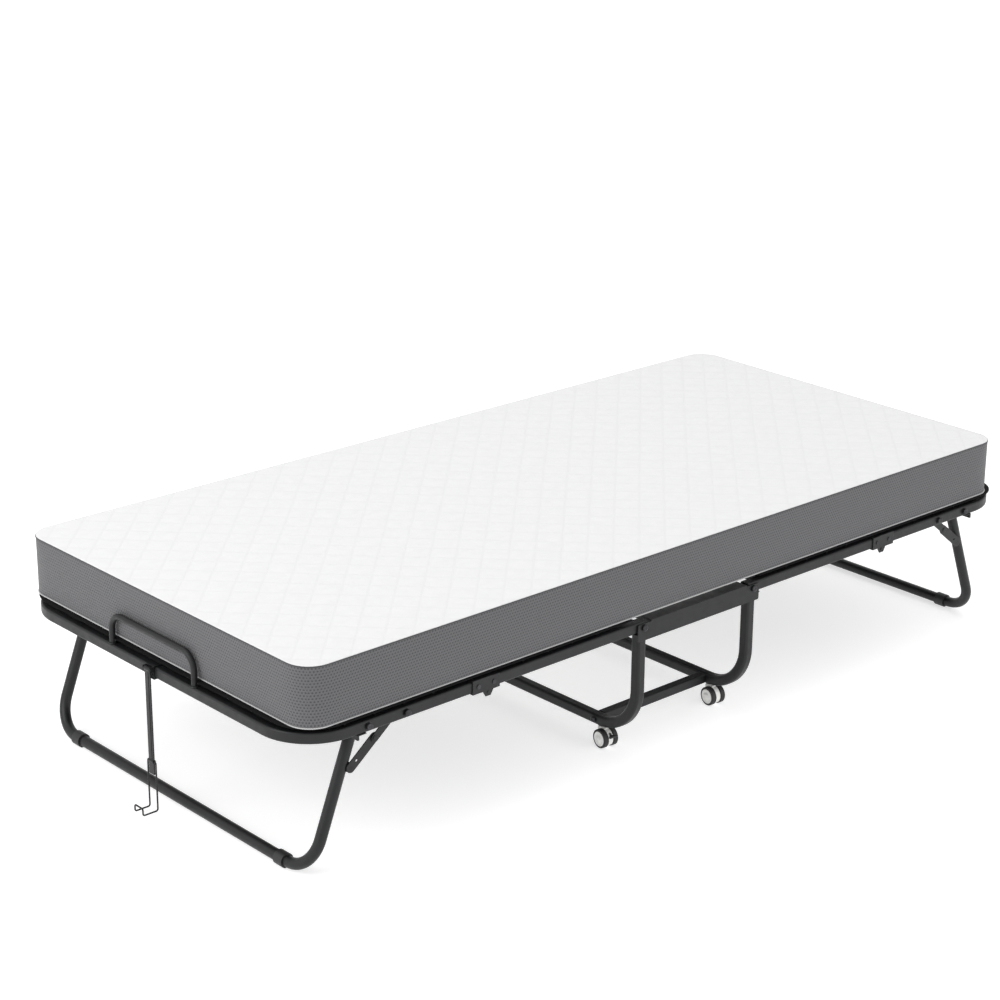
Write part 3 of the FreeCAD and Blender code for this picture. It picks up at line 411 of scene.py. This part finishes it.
def dress_wheels():
    """A white cap on the outer face of each wheel."""
    for name, joint in JOINTS.items():
        if name.startswith("wheels_"):
            low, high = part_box(name.replace("wheels_", "caster_").replace("_spin", "_hubs"))
            axis = Vector(joint["axis"])
            centre = Vector(joint["pos_m"])
            reach = ((high.x - low.x) / 2 - HUB_RADIUS * abs(axis.y)) / abs(axis.x)
            for side in (-1, 1):
                cap = f"{name.replace('_spin', '')}_cap_{side + 1}"
                lathe(cap, joint["child"], centre + axis * side * reach, axis * side, HUBCAP, WHITE)


def dress_bolts():
    """Button heads on the bolts along Y and the tie bolts, and weld beads round the handles' feet."""
    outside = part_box("head_bolts")[1].y
    for end in ("head", "foot"):
        for joint in (JOINTS[f"{end}_leg_fold"], JOINTS[f"{end}_upper_stay_turn"]):
            x, _, z = joint["pos_m"]
            for side in (-1, 1):
                at = (x, side * outside, z)
                lathe(f"button_{end}_{x:.3f}_{side}", f"{end}_half", at, (0, side, 0), BUTTON, BOLT)
    low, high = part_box("base_bolts")
    tie_low, tie_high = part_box("tie_bars")
    tie_y = tie_high.y - TIE_INSET
    for pivot in (HEAD_PIVOT, FOOT_PIVOT):
        for side in (-1, 1):
            at = (pivot.x, side * high.y, pivot.z)
            lathe(f"pivot_button_{pivot.x:.3f}_{side}", "base", at, (0, side, 0), BUTTON, BOLT)
    for end, x in ((-1, low.x), (1, high.x)):
        for side in (-1, 1):
            at = (x, side * tie_y, (tie_low.z + tie_high.z) / 2)
            lathe(f"tie_button_{end}_{side}", "base", at, (end, 0, 0), TIE_BUTTON, BOLT)
    for end in ("head", "foot"):
        low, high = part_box(f"{end}_handle")
        for side in (-1, 1):
            at = ((low.x + high.x) / 2, side * HANDLE_FOOT, low.z)
            lathe(f"{end}_handle_bead_{side}", f"{end}_half", at, (0, 0, 1), BEAD, FRAME)


# Mattress


def spread(low, high):
    """Grid lines from low to high: CORNER_STEPS in each corner zone, even between, and one at 0."""
    start, stop = low + CORNER, high - CORNER
    before, after = round(-start / STEP), round(stop / STEP)
    left = [start * (1 - n / before) for n in range(before)]
    right = [stop * n / after for n in range(after + 1)]
    reach = [CORNER * (n + 1) / CORNER_STEPS for n in range(CORNER_STEPS)]
    return [start - r for r in reversed(reach)] + left + right + [stop + r for r in reach]


def round_corner(x, y, low_x, high_x, half_y, radius):
    """Moves a point of the square-cornered grid so that the corner zones fill quarter discs."""
    edge_x = low_x + radius if x < 0 else high_x - radius
    edge_y = math.copysign(half_y - radius, y)
    over_x = max(0.0, abs(x) - abs(edge_x)) / radius
    over_y = max(0.0, abs(y) - abs(edge_y)) / radius
    if over_x > 0 and over_y > 0:
        x = edge_x + math.copysign(radius * over_x * math.sqrt(1 - over_y * over_y / 2), x)
        y = edge_y + math.copysign(radius * over_y * math.sqrt(1 - over_x * over_x / 2), y)
    return x, y


class Shell:
    """The mattress cover as a grid: a top, a border all round and an underside, with one set of points."""

    def __init__(self):
        self.low_x = LOW.x + SIDE_INSET - MIDDLE_X
        self.high_x = FAR.x - SIDE_INSET - MIDDLE_X
        self.half_y = (HIGH.y - LOW.y) / 2 - SIDE_INSET
        self.bottom, self.top = LOW.z + UNDERSIDE_GAP, HIGH.z - TOP_INSET
        self.xs = spread(self.low_x, self.high_x)
        self.ys = spread(-self.half_y, self.half_y)
        self.points, self.faces, self.kinds, self.uvs = [], [], [], []
        self.pins = []
        self.build()

    def sheet(self, z):
        """A layer of grid points at height z. Returns their numbers as rows."""
        rows = []
        for x in self.xs:
            row = []
            for y in self.ys:
                across, along = round_corner(x, y, self.low_x, self.high_x, self.half_y, CORNER)
                row.append(len(self.points))
                self.points.append((across + MIDDLE_X, along, z))
            rows.append(row)
        return rows

    def rim(self, rows):
        """The numbers of a layer's outer points, counterclockwise seen from above."""
        last_x, last_y = len(self.xs) - 1, len(self.ys) - 1
        ring = [rows[i][0] for i in range(last_x)]
        ring += [rows[last_x][j] for j in range(last_y)]
        ring += [rows[i][last_y] for i in range(last_x, 0, -1)]
        ring += [rows[0][j] for j in range(last_y, 0, -1)]
        return ring

    def build(self):
        top = self.sheet(self.top)
        middle_i, middle_j = self.xs.index(0), self.ys.index(0)
        for i in range(len(self.xs) - 1):
            for j in range(len(self.ys) - 1):
                steps = ((i, j), (i + 1, j), (i + 1, j + 1), (i, j + 1))
                corners = tuple(top[row][column] for row, column in steps)
                uv = tuple(((row - middle_i) * STEP, (column - middle_j) * STEP) for row, column in steps)
                self.quad(corners, TOP_FACE, uv)
        self.pin_quilting(top, middle_i, middle_j)
        ring = self.rim(top)
        upper = ring
        self.rims = {"top": ring}
        lengths = self.ring_lengths(ring)
        for level in range(1, BORDER_LEVELS + 1):
            z = self.top + (self.bottom - self.top) * level / BORDER_LEVELS
            if level < BORDER_LEVELS:
                lower = []
                for number in ring:
                    x, y, _ = self.points[number]
                    lower.append(len(self.points))
                    self.points.append((x, y, z))
            else:
                base = self.sheet(self.bottom)
                lower = self.rim(base)
            above_z = self.top + (self.bottom - self.top) * (level - 1) / BORDER_LEVELS
            for k in range(len(ring)):
                after = (k + 1) % len(ring)
                s0, s1 = lengths[k], lengths[k + 1]
                corners = (upper[k], lower[k], lower[after], upper[after])
                self.quad(corners, BORDER_FACE, ((s0, above_z), (s0, z), (s1, z), (s1, above_z)))
            upper = lower
        self.rims["bottom"] = upper
        for i in range(len(self.xs) - 1):
            for j in range(len(self.ys) - 1):
                corners = (base[i][j], base[i][j + 1], base[i + 1][j + 1], base[i + 1][j])
                self.quad(corners, LINING_FACE)
        self.pins += self.rims["top"]
        self.pins += [number for row in base for number in row]

    def ring_lengths(self, ring):
        lengths = [0.0]
        for k in range(len(ring)):
            first, second = self.points[ring[k]], self.points[ring[(k + 1) % len(ring)]]
            lengths.append(lengths[-1] + math.dist(first, second))
        return lengths

    def quad(self, corners, kind, uv=None):
        self.faces.append(corners)
        self.kinds.append(kind)
        self.uvs.append(uv or tuple(self.points[number][:2] for number in corners))

    def pin_quilting(self, top, middle_i, middle_j):
        """Pins the top along crossing diagonal stitch lines, placed evenly about both middle lines."""
        for i, row in enumerate(top):
            for j, number in enumerate(row):
                across, along = i - middle_i, j - middle_j
                if (across + along) % QUILT_REPEAT == 0 or (across - along) % QUILT_REPEAT == 0:
                    self.pins.append(number)


def mesh_object(name, points, faces, kinds, uvs, materials):
    mesh = bpy.data.meshes.new(name)
    mesh.from_pydata(points, [], faces)
    for material in materials:
        mesh.materials.append(material)
    mesh.polygons.foreach_set("material_index", kinds)
    mesh.polygons.foreach_set("use_smooth", [True] * len(faces))
    layer = mesh.uv_layers.new(name="cloth")
    layer.data.foreach_set("uv", [number for face in uvs for corner in face for number in corner])
    mesh.update()
    item = bpy.data.objects.new(name, mesh)
    COLLECTION.objects.link(item)
    return item


def apply_modifiers(item):
    """Replaces the mesh by what its modifiers make of it at the current frame."""
    graph = bpy.context.evaluated_depsgraph_get()
    made = bpy.data.meshes.new_from_object(item.evaluated_get(graph), depsgraph=graph)
    item.modifiers.clear()
    item.data = made


def inflate(item, pins, cap, frames=20):
    """Cloth pressure lifts what isn't pinned. No point moves further than cap."""
    rest = np.array([v.co for v in item.data.vertices])
    group = item.vertex_groups.new(name="pins")
    group.add(pins, 1.0, "REPLACE")
    cloth = item.modifiers.new("Cloth", "CLOTH")
    settings = cloth.settings
    settings.vertex_group_mass = "pins"
    settings.quality = 4
    settings.mass = 0.2
    settings.tension_stiffness = 12
    settings.compression_stiffness = 12
    settings.bending_stiffness = 0.4
    settings.use_pressure = True
    settings.uniform_pressure_force = 5
    settings.effector_weights.gravity = 0
    cloth.collision_settings.use_collision = False
    cloth.point_cache.frame_end = frames
    for number in range(1, frames + 1):
        bpy.context.scene.frame_set(number)
    apply_modifiers(item)
    bpy.context.scene.frame_set(1)
    moved = np.array([v.co for v in item.data.vertices]) - rest
    lengths = np.linalg.norm(moved, axis=1)
    scale = np.minimum(1, cap / np.maximum(lengths, 1e-9))
    item.data.vertices.foreach_set("co", (rest + moved * scale[:, None]).ravel())
    item.data.update()


def tube_along(points, radius):
    """Points, quads and UVs of an open tube round a line of points."""
    count, sides = len(points), PIPING_SIDES
    made, quads, uv = [], [], []
    travelled = 0.0
    for k in range(count):
        ahead = (points[min(k + 1, count - 1)] - points[max(k - 1, 0)]).normalized()
        side = ahead.cross(Vector((0, 0, 1))).normalized()
        up = side.cross(ahead).normalized()
        for turn in range(sides):
            angle = 2 * math.pi * turn / sides
            made.append(points[k] + side * radius * math.cos(angle) + up * radius * math.sin(angle))
    girth = 2 * math.pi * radius
    for k in range(count - 1):
        here, after = k * sides, (k + 1) * sides
        reached = travelled + (points[k + 1] - points[k]).length
        for turn in range(sides):
            other = (turn + 1) % sides
            quads.append((here + turn, here + other, after + other, after + turn))
            low, high = turn / sides * girth, (turn + 1) / sides * girth
            uv.append(((travelled, low), (travelled, high), (reached, high), (reached, low)))
        travelled = reached
    return made, quads, uv


def half_of(source, name, side, rims):
    """The cover on one side (-1 head, 1 foot) of the middle, with its share of the welt and piping."""
    mesh = source.data
    points, numbers = [], {}
    faces, kinds, uvs = [], [], []
    layer = mesh.uv_layers["cloth"].data
    for polygon in mesh.polygons:
        if (polygon.center.x - MIDDLE_X) * side < 0:
            continue
        face = []
        for number in polygon.vertices:
            if number not in numbers:
                numbers[number] = len(points)
                points.append(mesh.vertices[number].co.copy())
            face.append(numbers[number])
        faces.append(tuple(face))
        kinds.append(polygon.material_index)
        uvs.append(tuple(tuple(layer[loop].uv) for loop in polygon.loop_indices))
    for kind, radius, lift, line in rims:
        kept = [point for point in line if (point.x - MIDDLE_X) * side > -1e-5]
        start = max(range(len(kept)), key=lambda k: (kept[k] - kept[k - 1]).length)
        ordered = [point + Vector((0, 0, lift)) for point in kept[start:] + kept[:start]]
        made, quads, quad_uvs = tube_along(ordered, radius)
        offset = len(points)
        points += made
        faces += [tuple(number + offset for number in quad) for quad in quads]
        kinds += [kind] * len(quads)
        uvs += quad_uvs
    return mesh_object(name, points, faces, kinds, uvs, [TOP, BORDER, LINING, WELT, PIPING])


def crease_edges(item, shell):
    """Keeps the seams between top, border and underside sharp when the mesh is subdivided."""
    seams = set()
    for ring in shell.rims.values():
        seams |= {frozenset((ring[k], ring[(k + 1) % len(ring)])) for k in range(len(ring))}
    mesh = item.data
    crease = mesh.attributes.new("crease_edge", "FLOAT", "EDGE")
    sharpness = [SEAM_CREASE if frozenset(edge.vertices) in seams else 0.0 for edge in mesh.edges]
    crease.data.foreach_set("value", sharpness)


def make_mattress():
    shell = Shell()
    faces, kinds, uvs = shell.faces, shell.kinds, shell.uvs
    whole = mesh_object("mattress_blank", shell.points, faces, kinds, uvs, [TOP, BORDER, LINING])
    inflate(whole, shell.pins, PUFF_LIMIT)
    rims = []
    tubes = (
        (WELT_FACE, "top", WELT_RADIUS, WELT_LIFT),
        (PIPING_FACE, "bottom", PIPING_RADIUS, PIPING_LIFT),
    )
    for kind, key, radius, lift in tubes:
        line = [whole.data.vertices[number].co.copy() for number in shell.rims[key]]
        rims.append((kind, radius, lift, line))
    subdivide = whole.modifiers.new("Smooth", "SUBSURF")
    subdivide.levels = 1
    subdivide.boundary_smooth = "PRESERVE_CORNERS"
    crease_edges(whole, shell)
    apply_modifiers(whole)
    for end, side, pivot in (("head", -1, HEAD_PIVOT), ("foot", 1, FOOT_PIVOT)):
        half = half_of(whole, f"mattress_{end}", side, rims)
        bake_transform(half)
        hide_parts(f"{end}_mattress", f"{end}_mattress_crease", "mattress_middle")
    bpy.data.objects.remove(whole)


# Near-black cloth over the wire mesh: painted shade under the mattress


def wire_lines(end):
    """The places across the cot of the long wires that the cloth lies on."""
    mesh = frame["nodes"][f"{end}_wire_mesh"].data
    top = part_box(f"{end}_wire_mesh")[1].z
    crests = sorted(v.co.y for v in mesh.vertices if v.co.z > top - CREST)
    lines = [crests[0]]
    for y in crests:
        if y > lines[-1] + WIRE_APART:
            lines.append(y)
    return lines


def cloth_sag(y, lines):
    """How far the cloth hangs below the tops of the long wires at y."""
    below = [line for line in lines if line <= y]
    above = [line for line in lines if line > y]
    if not below or not above:
        return 0.0
    share = (y - below[-1]) / (above[0] - below[-1])
    return CLOTH_SAG * 4 * share * (1 - share)


def make_shade_cloth(end, side):
    """The near-black cloth of one half, painted shade under the mattress: hemmed, notched round the feet of the
    handle and slack between the wires.
    """
    low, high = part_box(f"{end}_support_cloth")
    handle_low, handle_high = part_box(f"{end}_handle")
    outer, inner = (low.x, high.x) if side < 0 else (high.x, low.x)
    notch_half = (handle_high.x - handle_low.x) / 2 * NOTCH_SHARE
    notch_end = (handle_low.x + handle_high.x) / 2 - side * notch_half
    half = high.y
    lines = wire_lines(end)
    rows = [outer, (outer + notch_end) / 2, notch_end, outer - side * HEM_WIDE]
    notch_rows, hem_rows = 2, 3
    rows += list(np.linspace(rows[-1], inner + side * HEM_WIDE, CLOTH_ROWS))[1:] + [inner]
    notch = [sign * (HANDLE_FOOT + edge) for sign in (-1, 1) for edge in (-notch_half, notch_half)]
    even = np.linspace(-half, half, CLOTH_COLUMNS)
    plain = [y for y in even if min(abs(y - edge) for edge in notch) > COLUMN_APART]
    columns = sorted(plain + notch + [half - HEM_WIDE, HEM_WIDE - half])
    points, faces, kinds, uvs = [], [], [], []
    beyond = outer - side * 3  # far past the inner edge, so that only the outer corners are rounded
    span = sorted((outer, beyond))
    for x in rows:
        for y in columns:
            place = round_corner(x, y, *span, half, CLOTH_CORNER)
            depth = cloth_sag(place[1], lines)
            points.append((*place, high.z - depth))
    wide = len(columns)
    for i in range(len(rows) - 1):
        for j in range(wide - 1):
            middle_y = (columns[j] + columns[j + 1]) / 2
            if i < notch_rows and abs(abs(middle_y) - HANDLE_FOOT) < notch_half:
                continue
            corners = [i * wide + j, (i + 1) * wide + j, (i + 1) * wide + j + 1, i * wide + j + 1]
            if side > 0:
                corners.reverse()
            faces.append(tuple(corners))
            hemmed = i < hem_rows or i >= len(rows) - 2 or abs(middle_y) > half - HEM_WIDE
            kinds.append(1 if hemmed else 0)
            uvs.append(tuple(points[number][:2] for number in corners))
    cloth = mesh_object(f"{end}_shade_cloth", points, faces, kinds, uvs, [CLOTH, SHADE_HEM])
    thick = cloth.modifiers.new("Thickness", "SOLIDIFY")
    thick.thickness = CLOTH_THICK
    thick.offset = -1
    apply_modifiers(cloth)
    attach(cloth, f"{end}_half")
    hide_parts(f"{end}_support_cloth")


# Stage


def make_stage():
    bpy.ops.mesh.primitive_plane_add(size=FLOOR_SIZE, location=(0, 0, 0))
    floor = bpy.context.object
    floor.name = "floor"
    glow = {"Emission Color": (1, 1, 1, 1), "Emission Strength": FLOOR_GLOW}
    paint = Paint("floor_paint", (0.62, 0.62, 0.62), 0.9, **glow)
    uneven = paint.mix(paint.noise(3), *FLOOR_GREYS)
    paint.wire(paint.shader, {"Base Color": uneven})
    floor.data.materials.append(paint.material)
    world = bpy.data.worlds.new("studio")
    world.use_nodes = True
    background = world.node_tree.nodes["Background"]
    background.inputs["Color"].default_value = (1, 1, 1, 1)
    background.inputs["Strength"].default_value = SKY
    bpy.context.scene.world = world
    for name, place, size, power in LAMPS:
        data = bpy.data.lights.new(name, "AREA")
        data.size = size
        data.energy = power
        light = bpy.data.objects.new(name, data)
        light.location = place
        aim = LAMP_TARGET - Vector(place)
        light.rotation_euler = aim.to_track_quat("-Z", "Y").to_euler()
        COLLECTION.objects.link(light)


def make_camera():
    forward = CAMERA_FORWARD.normalized()
    right = forward.cross(CAMERA_UPWARD).normalized()
    upward = right.cross(forward)
    data = bpy.data.cameras.new("camera")
    data.lens = CAMERA_LENS
    data.sensor_width = 36
    data.clip_end = 100
    camera = bpy.data.objects.new("camera", data)
    turn = Matrix((right, upward, -forward)).transposed().to_4x4()
    camera.matrix_world = Matrix.Translation(CAMERA_PLACE) @ turn
    COLLECTION.objects.link(camera)
    bpy.context.scene.camera = camera
    bpy.context.scene.view_settings.view_transform = "Standard"


make_camera()
dress_cad()
dress_wheels()
dress_bolts()
make_mattress()
make_shade_cloth("head", -1)
make_shade_cloth("foot", 1)
make_stage()
